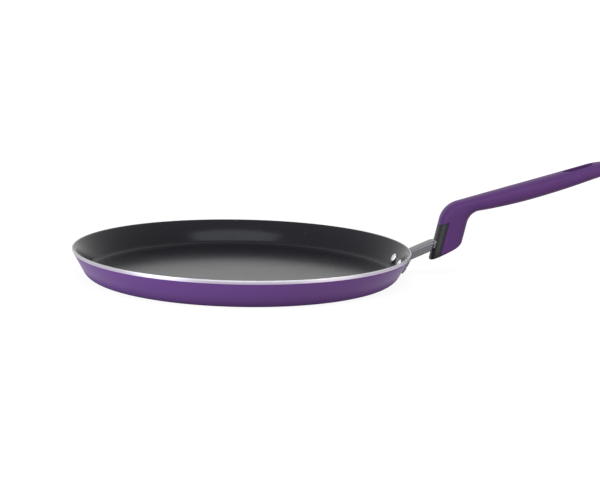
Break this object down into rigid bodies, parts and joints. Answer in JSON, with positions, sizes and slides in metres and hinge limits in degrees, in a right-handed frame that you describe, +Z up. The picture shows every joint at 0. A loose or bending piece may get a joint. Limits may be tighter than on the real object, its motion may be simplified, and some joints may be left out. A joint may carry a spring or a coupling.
{
  "type": "crepe pan",
  "caption": "Shallow round crepe pan with flared enamelled wall, bare rim, non-stick lining and a long bent moulded handle on a riveted bracket.",
  "frame": {"origin": "middle of the base's underside, on the surface that the pan stands on", "axes": "+Z up along the pan's axis, +X along the handle away from the pan"},
  "size_m": [0.4448, 0.2756, 0.0965],
  "materials": {
    "bare_aluminium": "turned and polished",
    "nonstick_coat": "satin charcoal coat with a fine fleck",
    "purple_enamel": "gloss purple coat",
    "bracket_steel": "pressed and tumbled",
    "rivet_aluminium": "plain headed",
    "black_guard": "fine matt moulding",
    "purple_grip": "satin soft-touch moulding",
    "plated_steel": "bright zinc plating"
  },
  "bodies": {
    "root": {"pan_body": "bare_aluminium", "nonstick_lining": "nonstick_coat", "exterior_enamel": "purple_enamel", "rivet_near": "rivet_aluminium", "rivet_far": "rivet_aluminium", "handle_bracket": "bracket_steel", "heat_guard": "black_guard", "handle_grip": "purple_grip", "handle_screw": "plated_steel", "lock_washer": "plated_steel"}
  },
  "joints": []
}
